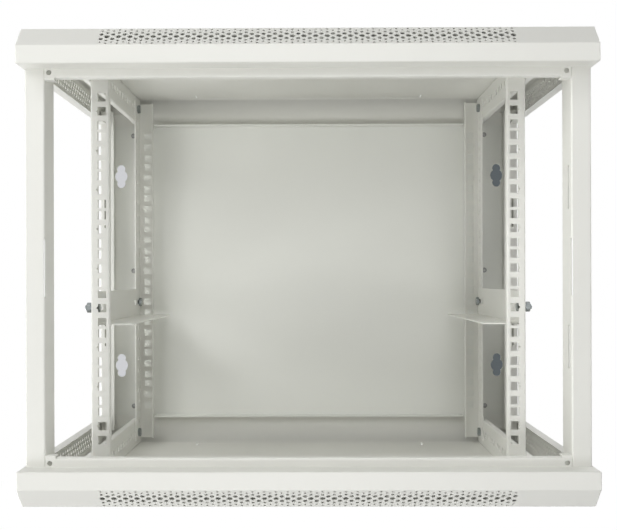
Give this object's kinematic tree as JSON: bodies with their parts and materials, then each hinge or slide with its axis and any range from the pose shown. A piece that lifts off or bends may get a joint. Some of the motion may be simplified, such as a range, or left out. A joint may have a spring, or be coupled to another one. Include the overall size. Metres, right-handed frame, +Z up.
{
  "type": "wall mount rack cabinet",
  "caption": "Shallow wall mount rack cabinet for network equipment, open front and sides, with rack rails, support runners and perforated top and bottom covers.",
  "frame": {"origin": "under the middle of the cabinet, level with the lowest point of the floor screws' heads", "axes": "+X to the right seen from the open front, +Y back towards the wall, +Z up"},
  "size_m": [0.6, 0.45, 0.506],
  "materials": {
    "cover_paint": "light grey powder coat, fine orange peel",
    "frame_paint": "light grey powder coat, fine orange peel",
    "panel_paint": "light grey powder coat, fine orange peel",
    "rail_paint": "light grey powder coat, fine orange peel",
    "fastener_zinc": "bright zinc plate",
    "screw_zinc": "bright zinc plate"
  },
  "bodies": {
    "root": {"top_cover": "cover_paint", "bottom_cover": "cover_paint", "front_top_rail": "frame_paint", "front_bottom_rail": "frame_paint", "front_post_left": "frame_paint", "front_post_right": "frame_paint", "rear_post_left": "frame_paint", "rear_post_right": "frame_paint", "back_panel": "panel_paint", "side_bracket_top_left": "frame_paint", "side_bracket_top_right": "frame_paint", "side_bracket_bottom_left": "frame_paint", "side_bracket_bottom_right": "frame_paint", "rack_rail_front_left": "rail_paint", "rack_rail_front_right": "rail_paint", "rack_rail_rear_left": "rail_paint", "rack_rail_rear_right": "rail_paint", "support_runner_left": "rail_paint", "support_runner_right": "rail_paint", "rack_rail_bolts": "fastener_zinc", "rack_rail_washers": "fastener_zinc", "rack_rail_spring_washers": "fastener_zinc", "rack_rail_nuts": "fastener_zinc", "runner_bolts": "fastener_zinc", "runner_washers": "fastener_zinc", "runner_spring_washers": "fastener_zinc", "runner_nuts": "fastener_zinc", "roof_screws": "screw_zinc", "floor_screws": "screw_zinc", "back_panel_screws": "screw_zinc"}
  },
  "joints": []
}
